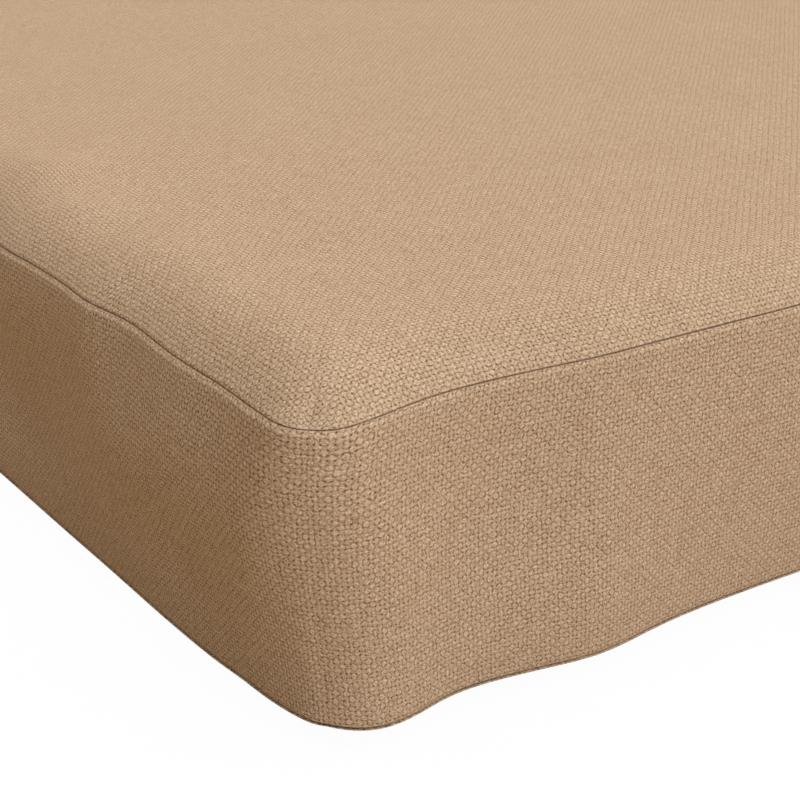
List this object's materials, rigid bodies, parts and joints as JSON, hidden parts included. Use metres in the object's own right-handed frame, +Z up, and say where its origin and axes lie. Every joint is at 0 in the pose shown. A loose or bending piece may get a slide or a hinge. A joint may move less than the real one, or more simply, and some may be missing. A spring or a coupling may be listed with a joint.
{
  "type": "bench cushion",
  "caption": "Long rectangular boxed bench cushion in tan plain-weave cloth, with a crowned top panel, a boxing strip round the sides and plain knife seams.",
  "frame": {"origin": "under the middle of the cushion, on the surface that it lies on", "axes": "+X along the cushion's length, +Y from its front edge to its back edge, +Z up through its thickness"},
  "size_m": [1.2216, 0.5099, 0.0799],
  "materials": {
    "top_cloth": "tan plain-weave upholstery cloth, slightly slubby, matt",
    "boxing_cloth": "the same tan plain-weave cloth, its yarns along and across the strip",
    "bottom_cloth": "the same tan plain-weave cloth, on the underside"
  },
  "bodies": {
    "root": {"top_panel": "top_cloth", "boxing_strip": "boxing_cloth", "bottom_panel": "bottom_cloth"}
  },
  "joints": []
}
